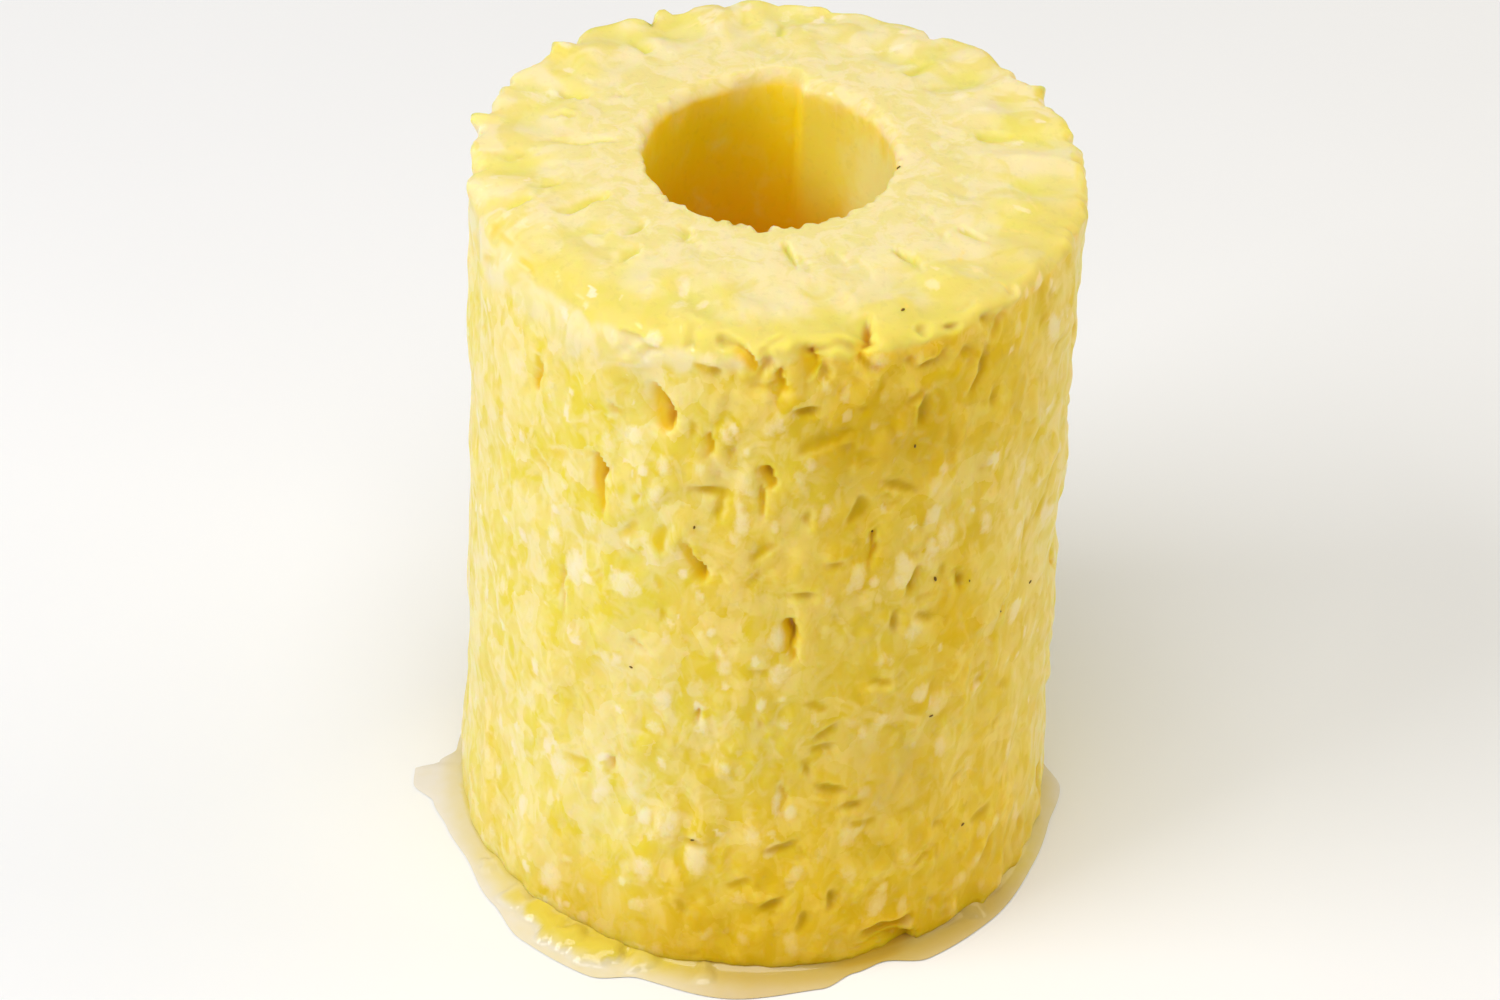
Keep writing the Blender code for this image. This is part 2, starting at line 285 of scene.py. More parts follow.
class Ring:
    """Where the rows and columns of the plain ring lie, as arrays of rows by columns."""

    def __init__(self):
        turn = np.arange(COLUMNS) * 2.0 * math.pi / COLUMNS
        self.angle = (turn - FRONT_CROWDING * np.cos(turn))[None, :]
        self.walk = self.rows()[:, None]
        self.worn = ease(0.1, 0.9, -np.sin(self.angle))
        uneven = form_noise(2.2 * np.cos(self.angle), 2.2 * np.sin(self.angle), 5.0)
        left = fade(20.0, 50.0, degrees_from(self.angle, -135.0))
        rounding = RIM_ROUNDING + WORN_ROUNDING * left * (0.8 + 0.3 * uneven) + 0.8 * self.worn
        self.back = ease(-0.3, 0.7, np.sin(self.angle))
        self.share, self.height = self.section(rounding, BORE_ROUNDING + BACK_BORE_ROUNDING * self.back)
        self.radius = BORE_RADIUS + self.share * THICKNESS
        self.x = self.radius * np.cos(self.angle)
        self.y = self.radius * np.sin(self.angle)
        self.wall_x = OUTER_RADIUS * np.cos(self.angle)
        self.wall_y = OUTER_RADIUS * np.sin(self.angle)

    def rows(self):
        """Distances along the section: up the wall, over the rim, across the top and down the bore."""
        below_rim = HEIGHT - RIM_REACH
        past_rim = HEIGHT + RIM_REACH
        before_bore = BORE_START - BORE_EDGE_REACH
        past_bore = BORE_START + BORE_EDGE_REACH
        down = (np.arange(1, BORE_ROWS + 1) / BORE_ROWS) ** 1.5
        return np.concatenate([
            np.linspace(0.0, below_rim, WALL_ROWS, endpoint=False),
            np.linspace(below_rim, past_rim, RIM_ROWS, endpoint=False),
            np.linspace(past_rim, before_bore, TOP_ROWS, endpoint=False),
            np.linspace(before_bore, past_bore, BORE_EDGE_ROWS),
            past_bore + (BORE_START + HEIGHT - past_bore) * down,
        ])

    def section(self, rounding, bore_rounding):
        """Share of the way from bore to wall, and height, with both edges of the top rounded."""
        rim_turn = 0.5 * math.pi * np.clip((self.walk - HEIGHT + rounding) / (2.0 * rounding), 0.0, 1.0)
        edge_turn = (self.walk - BORE_START + bore_rounding) / (2.0 * bore_rounding)
        edge_turn = 0.5 * math.pi * np.clip(edge_turn, 0.0, 1.0)
        inward = np.maximum(self.walk - HEIGHT - rounding, 0.0)
        inward = np.minimum(inward, THICKNESS - rounding - bore_rounding)
        inward = inward + rounding * (1.0 - np.cos(rim_turn)) + bore_rounding * np.sin(edge_turn)
        height = np.minimum(self.walk, HEIGHT - rounding) + rounding * np.sin(rim_turn)
        height = height - bore_rounding * (1.0 - np.cos(edge_turn))
        height = height - np.maximum(self.walk - BORE_START - bore_rounding, 0.0)
        height[-1, :] = 0.0
        return 1.0 - inward / THICKNESS, height

    def rows_near(self, walk, reach):
        """The slice of rows within reach of a place along the section."""
        rows = self.walk[:, 0]
        return slice(*np.searchsorted(rows, (walk - reach, walk + reach)))

    def around(self, rows, degrees, walk, lean):
        """Sideways and lengthways distances of those rows' points from a place on the skin."""
        side = way_round(self.angle, degrees, self.radius[rows])
        up = self.walk[rows] - walk
        tilt = math.radians(lean)
        return side * math.cos(tilt) + up * math.sin(tilt), up * math.cos(tilt) - side * math.sin(tilt)


def hidden_pits(rng):
    """Pits of the side turned away, small ones everywhere and shallow dents in the top."""
    pits = []
    for step in range(PITS_BEHIND):
        degrees = -10.0 + (step * GOLDEN_ANGLE) % 200.0
        walk = 8.0 + (step * PITS_BEHIND_CLIMB) % 102.0
        size = rng.uniform(0.7, 1.3)
        pits.append(Pit(degrees, walk, 2.4 * size, 7.5 * size, 2.3 * size, rng.uniform(-30.0, 30.0)))
    for _ in range(SMALL_PITS):
        size = rng.uniform(0.5, 1.2)
        degrees, walk = rng.uniform(-180.0, 180.0), rng.uniform(2.0, 114.0)
        pits.append(Pit(degrees, walk, 1.6 * size, 3.6 * size, 0.6 * size, rng.uniform(-50.0, 50.0)))
    for _ in range(TOP_DENTS):
        size = rng.uniform(0.6, 1.4)
        degrees, walk = rng.uniform(-180.0, 180.0), top_walk(rng.uniform(26.0, 43.0))
        pits.append(Pit(degrees, walk, 2.2 * size, 4.2 * size, 0.5 * size, rng.normal(0.0, 25.0)))
    return pits


def cut_pits(ring, pits, rng):
    """How deep the pits are: each slopes down from its left and ends in a torn right edge."""
    depth = np.zeros((len(ring.walk), COLUMNS))
    for pit in pits:
        half_width, half_length = 0.5 * pit.width, 0.5 * pit.length
        rows = ring.rows_near(pit.walk, half_length + half_width + 1.0)
        side, up = ring.around(rows, pit.degrees, pit.walk, pit.lean)
        along = pit.blunt * np.clip(up / half_length, -1.0, 1.0)
        body = np.sqrt(1.0 - np.where(along > 0.0, along ** 4, along ** 2))
        knots = np.arange(-half_length - 2.0, half_length + 4.0, 2.0) + rng.uniform(0.0, 1.5)
        torn = np.interp(up, knots, rng.uniform(-1.0, 1.0, len(knots)))
        right = half_width * body + 0.7 * torn * body * min(1.0, half_width)
        left = -1.4 * half_width * body
        share = (side - left) / np.maximum(right - left, 0.05)
        slope = np.clip(share, 0.0, 1.0) ** 1.6 * fade(-0.3, 0.4, side - right)
        deep = pit.depth * slope * body * (0.65 + 0.35 * along)
        depth[rows] = np.maximum(depth[rows], deep)
    return depth


def ripeness_and_painted_shade(ring):
    """Deeper gold for painted shade, most on the right of the shown side, by the foot and under the rim,
    and for random mottle.
    """
    angle, height = ring.angle, ring.height
    round_way = fade(15.0, 66.0, degrees_from(angle, -58.0))
    facing = fade(20.0, 65.0, degrees_from(angle, -75.0))
    by_foot = (0.2 + 0.42 * facing) * fade(6.0, 32.0, height)
    side = way_round(angle, -62.0)
    under_rim = 0.7 * fade(0.3, 1.0, np.hypot(side / 22.0, (height - 102.0) / 16.0))
    mottle = 0.35 * form_noise(ring.wall_x / 14.0, ring.wall_y / 14.0, height / 18.0)
    return np.clip(0.75 * round_way + by_foot + under_rim + mottle, 0.0, 1.2)


def juice_seep_and_shade(ring):
    """Darker flesh, partly juice seeped in by the foot and partly painted shade: by the foot, low down
    and under the rim on the right.
    """
    angle, height = ring.angle, ring.height
    right = fade(35.0, 75.0, degrees_from(angle, -70.0))
    foot = (0.1 + 0.8 * right) * fade(2.0, 22.0, height)
    side = way_round(angle, -67.0)
    under_rim = 0.9 * fade(0.2, 1.0, np.hypot(side / 19.0, (height - 99.0) / 14.0))
    low_side = way_round(angle, -62.0)
    low_right = 0.6 * fade(0.2, 1.0, np.hypot(low_side / 14.0, (height - 32.0) / 26.0))
    mottle = 0.6 * form_noise(ring.wall_x / 5.0, ring.wall_y / 5.0, height / 6.0 + 15.0)
    soaked_and_shaded = np.maximum(np.maximum(foot, under_rim), low_right)
    return np.clip(soaked_and_shaded * (1.0 + mottle), 0.0, 1.0)


def scatter_sacs(ring, rng):
    """Juice sacs: rounded teardrops that overlap like shingles, each clear gold or dense and pale."""
    shape = (len(ring.walk), COLUMNS)
    height = np.zeros(shape)
    tone = np.zeros(shape)
    pale = np.zeros(shape)
    for _ in range(SACS):
        degrees = rng.uniform(-180.0, 180.0)
        walk = rng.uniform(-1.0, TOP_START + 0.9 * THICKNESS)
        width = rng.choice(SAC_WIDTHS, p=SAC_WIDTH_SHARES) * rng.uniform(0.85, 1.2)
        length = width * rng.uniform(1.2, 2.9)
        lean = rng.normal(0.0, 17.0)
        lift, rise = rng.uniform(-0.3, 0.05), rng.uniform(0.2, 0.55)
        shade = rng.uniform(-1.0, 1.0)
        dense = rng.uniform(0.0, 1.0) < DENSE_SHARE
        width = width * (1.0 + 0.2 * dense)
        firm = rng.uniform(0.5, 1.0)
        flip = rng.choice((-0.3, 0.3))
        rows = ring.rows_near(walk, length + width)
        if rows.stop <= rows.start:
            continue
        side, up = ring.around(rows, degrees, walk, lean)
        along = up / length
        across = side / width / (1.0 - flip * np.clip(along, -1.0, 1.0))
        dome = np.clip(1.0 - across * across - along * along, 0.0, 1.0)
        top = lift + (rise + 0.12 * dense) * np.sqrt(dome)
        wins = (dome > 0.0) & (top > height[rows])
        height[rows] = np.where(wins, top, height[rows])
        tone[rows] = np.where(wins, shade * ease(0.0, 0.25, dome), tone[rows])
        pale[rows] = np.where(wins, dense * firm * dome ** 0.8, pale[rows])
    for degrees, walk, width, length, lean in SHOWN_FLECKS:
        rows = ring.rows_near(walk, length + width)
        side, up = ring.around(rows, degrees, walk, lean)
        uneven = 0.35 * soft_noise(side / 1.2 + 9.0, up / 1.2 + 9.0, 0.5, 8)
        dome = np.clip(1.0 - (side / width) ** 2 - (up / length) ** 2 + uneven, 0.0, 1.0)
        height[rows] = np.maximum(height[rows], 0.4 * np.sqrt(dome))
        pale[rows] = np.maximum(pale[rows], 0.8 * dome ** 0.6)
    return height, tone, pale


def spread_places(rng, count, spacing):
    """Random places on the skin, none closer to another than the spacing."""
    places = []
    for _ in range(6 * count):
        degrees = rng.uniform(-180.0, 180.0)
        walk = rng.uniform(1.0, TOP_START + 0.85 * THICKNESS)
        radius = OUTER_RADIUS - max(0.0, walk - TOP_START)
        x, y = radius * math.cos(math.radians(degrees)), radius * math.sin(math.radians(degrees))
        height = min(walk, TOP_START)
        place = Vector((x, y, height))
        if all((place - other).length > spacing for _, _, other in places):
            places.append((degrees, walk, place))
        if len(places) == count:
            break
    return [(degrees, walk) for degrees, walk, _ in places]


def calmness(degrees, walk):
    """How strongly a flake is torn: 1 on the wall, less on the top, least away from its front edge."""
    if walk < TOP_START:
        return 1.0
    return 0.7 if -160.0 < degrees < -40.0 and walk < TOP_START + TOP_FRONT_ROUGH else TOP_CALM


def random_flakes(rng):
    """Flakes all over the skin, most of them free on their right or lower side, calmer on the top."""
    flakes = []
    for degrees, walk in spread_places(rng, FLAKES, FLAKE_SPACING):
        facing = rng.choice(FLAKE_FACINGS, p=FLAKE_FACING_SHARES) + rng.normal(0.0, 28.0)
        half = rng.choice(FLAKE_HALVES, p=FLAKE_HALF_SHARES) * rng.uniform(0.8, 1.4)
        drop = rng.uniform(0.25, 0.75) * calmness(degrees, walk)
        flakes.append(Flake(degrees, walk, facing, half, half * rng.uniform(0.5, 1.2), drop))
    return flakes


def tear_flakes(ring, flakes, rng):
    """Torn flakes: each rises to a ragged free edge and drops there into clear gold, with painted shade
    past the edge.
    """
    shape = (len(ring.walk), COLUMNS)
    lift, window, lip = np.zeros(shape), np.zeros(shape), np.zeros(shape)
    for flake in flakes:
        half, gap, drop = flake.half, flake.gap, flake.drop
        reach = half * rng.uniform(0.9, 1.7)
        start = rng.uniform(0.0, 30.0)
        clear = calmness(flake.degrees, flake.walk)
        rows = ring.rows_near(flake.walk, max(half, reach) + gap)
        beyond, along = ring.around(rows, flake.degrees, flake.walk, flake.facing)
        wobble = 0.6 * soft_noise(along / 1.2 + start, 0.5, 0.5, 3)
        wobble = wobble + soft_noise(along / 2.2 + start, 0.5, 0.5, 4)
        past = beyond - 0.35 * wobble * min(1.5, half)
        body = np.sqrt(np.clip(1.0 - (along / half) ** 2, 0.0, 1.0))
        back = np.clip(1.0 + past / reach, 0.0, 1.0) ** 2 * fade(-0.1, 0.25, past)
        fall = np.clip(1.0 - past / np.maximum(gap * body, 0.05), 0.0, 1.0) * ease(-0.1, 0.25, past)
        lift[rows] += body * (0.4 * drop * back - drop * fall)
        # painted shade: past each free edge the flesh is marked to be coloured darker, as the flake's
        # shade
        window[rows] = np.maximum(window[rows], clear * np.sqrt(body) * fall)
        lip[rows] = np.maximum(lip[rows], body * back * ease(-1.2, 0.0, past))
    return lift, window, lip


def soften(field):
    """The field without steps that are finer than the mesh can hold."""
    across = 0.5 * field + 0.25 * (np.roll(field, 1, axis=1) + np.roll(field, -1, axis=1))
    across[1:-1] = 0.5 * across[1:-1] + 0.25 * (across[:-2] + across[2:])
    return across


def rim_scallops(angle):
    """How far the rim stands out: broad lobes between soft nicks, with the nicks and spikes that show."""
    rng = np.random.default_rng(RIM_DRAW)
    widths = rng.uniform(3.0, 11.0, 40)
    edges = np.concatenate([[0.0], np.cumsum(widths)]) * 2.0 * math.pi / widths.sum()
    swell = rng.uniform(0.2, 0.9, len(widths))
    turn = angle % (2.0 * math.pi)
    lobe = np.clip(np.searchsorted(edges, turn, side="right") - 1, 0, len(widths) - 1)
    share = (turn - edges[lobe]) / (edges[lobe + 1] - edges[lobe])
    out = swell[lobe] * (np.sqrt(np.clip(1.0 - (2.0 * share - 1.0) ** 2, 0.0, 1.0)) - 1.0)
    for degrees, width, depth in RIM_NICKS:
        side = np.abs(way_round(angle, degrees))
        out = out - depth * fade(0.0, 0.5 * width, side)
    return out


def flesh_fields(ring):
    """Every field of the flesh: how far it is pushed out, up and off the bore, and what its marks are."""
    angle, height, radius, share = ring.angle, ring.height, ring.radius, ring.share
    x, y = ring.x, ring.y
    wall_x, wall_y = ring.wall_x, ring.wall_y
    rng = np.random.default_rng(FLESH_DRAW)
    on_wall = ease(0.86, 1.0, share)
    on_bore = fade(0.0, 0.14, share)
    bore_pull = fade(0.0, 0.24, share)
    on_top = ease(HEIGHT - 2.0 * RIM_ROUNDING, HEIGHT, height)
    outward = ease(0.15, 0.75, share)
    rim_near = ease(HEIGHT - 7.0, HEIGHT, height)

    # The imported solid's own form: spread foot, lumps and crags
    out = FOOT_SPREAD * fade(0.0, FOOT_SPREAD_HEIGHT, height)
    out = out - FOOT_TUCK * fade(0.0, FOOT_TUCK_HEIGHT, height)
    out = out + 0.8 * form_noise(wall_x / 8.5, wall_y / 8.5, height / LUMP_STRETCH / 8.5)
    out = out + 0.4 * form_noise(wall_x / 4.2, wall_y / 4.2, height / 1.8 / 4.2)
    up = 1.1 * outward * form_noise(x / 6.2, y / 6.2, 0.0)
    worn = ring.worn
    grooves = np.abs(form_noise(turn_between(angle, 0.0) * 3.4, radius / 24.8, 9.0))
    up = up - (1.0 - 0.7 * worn) * outward * grooves
    streaks = form_noise(9.0 * np.cos(angle), 9.0 * np.sin(angle), radius / 16.0 + 40.0)
    up = up + 0.35 * (1.0 - 0.5 * worn) * outward * streaks

    # Overlapping sacs, smoother in some places than in others, and torn flakes
    sacs, tone, pale = scatter_sacs(ring, rng)
    rough = ease(-0.35, 0.3, form_noise(x / 16.0, y / 16.0, height / 20.0 + 60.0))
    flakes, window, lip = tear_flakes(ring, SHOWN_FLAKES + random_flakes(rng), rng)
    shaded = 0.45 + 1.15 * ease(-0.9, 0.3, np.cos(angle))
    calm = 0.6 + 0.4 * ease(-0.85, 0.1, np.cos(angle))
    skin = (0.35 + 0.65 * rough) * sacs + 0.06 * form_noise(x / 1.1, y / 1.1, height / 1.8)
    skin = soften(shaded * (skin + flakes))
    depth = cut_pits(ring, SHOWN_PITS + TOP_PITS + hidden_pits(rng), rng)

    crags = ease(0.1, 0.6, form_noise(x / 3.2, y / 3.2, ring.walk / 3.6 + 70.0)) * ragged_edge(ring)
    cut = np.maximum(depth, 1.1 * crags)
    window = np.maximum(window, 0.3 * crags)

    # The rim is scalloped at the sides and back, and worn round in front
    dent = ease(0.1, 0.9, -up)
    scallops = rim_scallops(angle) * (1.0 - 0.6 * worn)
    out = out + rim_near ** 2 * ease(0.55, 1.0, share) * scallops
    out = out - 0.4 * rim_near * np.abs(form_noise(wall_x / 4.0, wall_y / 4.0, height / 4.0))
    up = up + 0.35 * ease(0.8, 1.0, share) * scallops

    out = out + skin - cut
    up = up + skin * (0.05 + 0.25 * outward) - cut
    jags = form_noise(x / 1.8, y / 1.8, 30.0)
    notch = fade(0.0, 1.6, np.abs(way_round(angle, -92.0, BORE_RADIUS)))
    up = up - worn * fade(0.0, 0.08, share) * (1.8 * np.clip(jags, 0.0, 1.0) + 1.2 * notch)

    below = HEIGHT - height
    bore = bore_relief(angle, height, below)
    uneven = form_noise(x / 3.0, y / 3.0, height / 4.0 + 25.0)
    # painted shade: a dark line along the foot, where it meets the floor
    foot_shade_line = 0.5 * on_wall * fade(0.4, 2.0, height)
    marks = {
        # painted shade: pits darken with their depth, and the line along the foot darkens too
        "hollow": np.maximum(np.clip(depth / FULL_PIT, 0.0, 1.0), foot_shade_line) * (1.0 - on_bore),
        # painted shade past the flakes' free edges and in the torn rim's crags, over clearer gold flesh
        "window": calm * soften(window) * np.maximum(on_wall, outward),
        "lip": lip * np.maximum(on_wall, outward),
        "dent": np.maximum(dent, np.clip(depth, 0.0, 1.0)) * on_top * outward,
        "level": on_top * (1.0 - 0.5 * ease(0.9, 1.0, share)),
        "streak": on_top * outward * ease(0.0, 0.5, streaks),
        "tone": calm * tone,
        "fleck": pale * np.maximum(on_wall, outward),
        "top": pale_cap(ring, on_top),
        "rim": golden_rim(ring),
        "edge": clear_edge(ring),
        "pulp": on_top * fade(0.12, 0.75, share),
        "bore": on_bore * ease(0.0, 1.0, (below + uneven) / (2.2 + 2.0 * ring.back)),
        # painted shade deeper down the bore, and painted light on the bore's right wall, where the key
        # light falls
        "deep": ease(1.0, 46.0, below),
        "core": bore_lit_blotches(angle, height, below),
        "thin": bore_light(angle, below),
        # painted shade: deeper gold on the side away from the key light, by the foot and under the rim,
        # with random mottle
        "ripe": ripeness_and_painted_shade(ring),
        # partly painted shade: darker flesh by the foot, low down and under the rim on the right
        "juicy": juice_seep_and_shade(ring),
    }
    return out * on_wall + bore * bore_pull, up * on_top, marks


def pale_cap(ring, on_top):
    """The pale flesh of the top, which runs raggedly over the rim, furthest at the left front."""
    left = fade(20.0, 85.0, degrees_from(ring.angle, -150.0))
    ragged = form_noise(ring.wall_x / 4.0, ring.wall_y / 4.0, 3.0)
    reach = 7.0 * left + (1.2 + 3.0 * left) * ragged
    down = fade(0.0, 1.5 + 3.5 * left, HEIGHT - ring.height - reach) * (0.4 + 0.6 * left)
    return np.maximum(on_top * fade(0.9, 1.0, ring.share), down * ease(0.8, 0.95, ring.share))


def golden_rim(ring):
    """Where the top darkens to gold towards the rim, on the right of the shown side."""
    right = fade(25.0, 60.0, degrees_from(ring.angle, -45.0))
    near_rim = ease(0.55, 0.95, ring.share + 0.2 * form_noise(ring.x / 6.0, ring.y / 6.0, 7.0))
    return right * near_rim * ease(HEIGHT - 2.5, HEIGHT - 1.0, ring.height)


def ragged_edge(ring):
    """Where the worn front rim is torn: a band a few millimetres wide on both sides of the edge."""
    front = fade(30.0, 62.0, degrees_from(ring.angle, -84.0))
    return front * fade(2.0, 7.0, np.abs(ring.walk - (HEIGHT - 2.0)))


def clear_edge(ring):
    """The clearer, more golden flesh by the worn front rim; on the right it stops at the edge itself."""
    front = fade(30.0, 66.0, degrees_from(ring.angle, -100.0))
    uneven = 3.0 * form_noise(ring.x / 4.0, ring.y / 4.0, ring.height / 5.0 + 50.0)
    right = ease(math.radians(-97.0), math.radians(-80.0), ring.angle)
    on_wall = 1.0 - right * ease(0.0, 2.5, HEIGHT - 1.0 - ring.walk - 0.3 * uneven)
    return front * on_wall * fade(3.0, 11.0, np.abs(ring.walk - (HEIGHT - 1.0)) + uneven)


def bore_relief(angle, height, below):
    """How far the bore's wall lies off the plain bore, with the stepped recess at its back."""
    x, y = BORE_RADIUS * np.cos(angle), BORE_RADIUS * np.sin(angle)
    waves = 0.4 * form_noise(x / 12.0, y / 12.0, height / LUMP_STRETCH / 12.0)
    lip = fade(0.0, 3.0, below)
    chipped = 1.2 * lip * np.abs(form_noise(x / 2.6, y / 2.6, height / LUMP_STRETCH / 2.6))
    start = ease(math.radians(75.0), math.radians(80.0), angle)
    end = fade(math.radians(84.0), math.radians(120.0), angle)
    recess = (1.4 + 1.6 * fade(0.0, 5.0, below)) * start * end * fade(3.0, 30.0, below)
    return waves + chipped + recess


def bore_lit_blotches(angle, height, below):
    """Painted light: pale blotches on the bore's wall where the key light falls, round 8 degrees and a
    little below the top.
    """
    x, y = BORE_RADIUS * np.cos(angle), BORE_RADIUS * np.sin(angle)
    blotches = form_noise(x / 5.0, y / 5.0, height / 6.0)
    side = degrees_from(angle, 8.0) + 6.0 * blotches
    low = below + 5.0 * blotches
    return fade(14.0, 60.0, side) * ease(-3.0, 8.0, low) * fade(10.0, 40.0, low)


def bore_light(angle, below):
    """Painted light: where the bore's wall is lighter, right of the step that the second cut left, fading
    further down.
    """
    right = fade(70.0, 80.0, degrees_from(angle, 0.0))
    return right * (1.0 - 0.7 * ease(8.0, 26.0, below))


def flesh_places(ring, out, up):
    """Where every point of the flesh lies, in millimetres, as rows by columns by three."""
    centre_x = BORE_X * (1.0 - ring.share)
    centre_y = BORE_Y * (1.0 - ring.share)
    far = ring.radius + out
    x = centre_x + far * np.cos(ring.angle)
    y = centre_y + far * np.sin(ring.angle)
    z = np.broadcast_to(ring.height, x.shape) + up
    z[0, :] = 0.0
    z[-1, :] = 0.0
    return np.stack([x, y, z], axis=-1)


def marked_mesh(name, places, marks):
    """A closed ring as one mesh over rows and columns of points, with its marks kept on them."""
    rows, columns = places.shape[:2]
    grid = np.arange(rows * columns).reshape(rows, columns)
    after = np.roll(grid, -1, axis=1)
    above = np.roll(grid, -1, axis=0)
    above_after = np.roll(after, -1, axis=0)
    quads = np.stack([grid, after, above_after, above], axis=-1).reshape(-1, 4)
    mesh = bpy.data.meshes.new(name)
    mesh.from_pydata((places.reshape(-1, 3) * MM).tolist(), [], quads.tolist())
    mesh.shade_smooth()
    mesh.update()
    for mark, field in marks.items():
        layer = mesh.attributes.new(mark, "FLOAT", "POINT")
        spread = np.broadcast_to(field, (rows, columns))
        layer.data.foreach_set("value", spread.astype(np.float32).ravel())
    return mesh


def place_piece(name, mesh, material):
    """Put a finished mesh in the scene as a piece of the fruit."""
    mesh.materials.append(material)
    piece = bpy.data.objects.new(name, mesh)
    bpy.context.scene.collection.objects.link(piece)
    return piece


class Nodes:
    """Short calls for building a material's node tree."""

    def __init__(self, name):
        self.material = bpy.data.materials.new(name)
        self.material.use_nodes = True
        self.tree = self.material.node_tree
        self.shader = self.tree.nodes["Principled BSDF"]

    def add(self, kind, feeds=None, **settings):
        """A new node with its settings, and its sockets fed by name or number."""
        node = self.tree.nodes.new(kind)
        for key, value in settings.items():
            setattr(node, key, value)
        for socket, value in (feeds or {}).items():
            self.feed(value, node.inputs[socket])
        return node

    def feed(self, value, socket):
        """Give a socket a plain number or colour, or another socket's value."""
        if isinstance(value, bpy.types.NodeSocket):
            self.tree.links.new(value, socket)
        elif isinstance(value, tuple) and len(value) < len(socket.default_value):
            socket.default_value = (*value, 1.0)
        else:
            socket.default_value = value

    def finish(self, **looks):
        """Set the shader's sockets, named in small letters with underscores; give the material."""
        sockets = {socket.name.lower().replace(" ", "_"): socket for socket in self.shader.inputs}
        for name, value in looks.items():
            self.feed(value, sockets[name])
        return self.material

    def mark(self, name):
        """A field kept on the mesh's points."""
        return self.add("ShaderNodeAttribute", attribute_name=name).outputs["Fac"]

    def math(self, operation, first, second, clamp=False):
        feeds = {0: first, 1: second}
        return self.add("ShaderNodeMath", feeds, operation=operation, use_clamp=clamp).outputs[0]

    def remap(self, value, low, high, to_low=0.0, to_high=1.0):
        span = {"From Min": low, "From Max": high, "To Min": to_low, "To Max": to_high}
        node = self.add("ShaderNodeMapRange", {"Value": value, **span}, interpolation_type="SMOOTHSTEP")
        return node.outputs["Result"]

    def mix(self, factor, first, second):
        """Blend two colours, each a socket or a plain colour."""
        node = self.add("ShaderNodeMix", data_type="RGBA")
        self.feed(factor, node.inputs["Factor"])
        for name, value in (("A", first), ("B", second)):
            self.feed(value, [s for s in node.inputs if s.name == name and s.type == "RGBA"][0])
        return [s for s in node.outputs if s.type == "RGBA"][0]

    def over(self, base, colour, where, strength=1.0, low=0.0, high=1.0):
        """Lay a colour over the base: not at all where the value is low, at full strength where high."""
        return self.mix(self.remap(where, low, high, 0.0, strength), base, colour)

    def swing(self, value, amount):
        """A noise that swings to both sides of nought."""
        return self.math("MULTIPLY", self.math("SUBTRACT", value, 0.5), amount)

    def stretched_place(self, size, tall, shift=0.0):
        """The fruit's own space in units of size millimetres, taller than wide by tall."""
        scale = (1000.0 / size, 1000.0 / size, 1000.0 / size / tall)
        place = self.add("ShaderNodeTexCoord").outputs["Object"]
        feeds = {"Vector": place, "Scale": scale, "Location": (shift, shift, shift)}
        return self.add("ShaderNodeMapping", feeds).outputs["Vector"]

    def noise(self, size, tall=1.0, detail=2.0, roughness=0.5, torn=0.0, shift=0.0):
        place = self.stretched_place(size, tall, shift)
        feeds = {"Vector": place, "Scale": 1.0, "Detail": detail, "Roughness": roughness}
        return self.add("ShaderNodeTexNoise", {**feeds, "Distortion": torn}).outputs["Fac"]

    def cells(self, size, tall):
        """Ragged cells: a random value for each, and the distance from its middle."""
        place = self.stretched_place(size, tall)
        wobble = self.add("ShaderNodeTexNoise", {"Vector": place, "Scale": 1.6, "Detail": 3.0})
        feeds = {0: wobble.outputs["Color"], "Scale": 0.8}
        scaled = self.add("ShaderNodeVectorMath", feeds, operation="SCALE")
        feeds = {0: place, 1: scaled.outputs["Vector"]}
        moved = self.add("ShaderNodeVectorMath", feeds, operation="ADD")
        feeds = {"Scale": 1.0, "Vector": moved.outputs["Vector"]}
        node = self.add("ShaderNodeTexVoronoi", feeds)
        split = self.add("ShaderNodeSeparateColor", {"Color": node.outputs["Color"]})
        return split.outputs["Red"], node.outputs["Distance"]


# Colours of the flesh, from deep and clear to pale and dense, each for pale and for mature fruit;
# the mature ones also stand for painted shade, and the pit, flake-edge and bore colours for painted shade
# and light
PIT_SHADE_AMBER = (0.64, 0.26, 0.001)
PIT_SHADE_GOLD = (0.84, 0.55, 0.003)
DEEP_SHADE_GOLD = (0.68, 0.43, 0.001)
GOLD = (0.815, 0.67, 0.05)
RIPE_AND_SHADED_GOLD = (0.77, 0.505, 0.001)
YELLOW = (0.87, 0.735, 0.21)
RIPE_AND_SHADED_YELLOW = (0.85, 0.58, 0.007)
PALE = (0.90, 0.785, 0.38)
RIPE_AND_SHADED_PALE = (0.93, 0.67, 0.085)
GREENISH = (0.84, 0.74, 0.10)
DENT = (0.80, 0.73, 0.16)
FLECK = (0.94, 0.84, 0.60)
RIPE_AND_SHADED_FLECK = (0.98, 0.755, 0.31)
TOP_PALE = (0.86, 0.77, 0.45)
TOP_CLEAR = (0.80, 0.705, 0.25)
RIM_GOLD = (0.775, 0.66, 0.165)
PULP = (0.86, 0.76, 0.42)
PULP_CLEAR = (0.81, 0.715, 0.28)
BORE_HIGH = (1.0, 0.72, 0.002)
BORE_DEEP_SHADE = (1.0, 0.44, 0.001)
BORE_LIT = (1.0, 0.84, 0.12)
BORE_LIT_PALE = (1.0, 0.89, 0.33)
JUICE = (0.91, 0.875, 0.79)
JUICE_DEEP = (0.84, 0.69, 0.08)
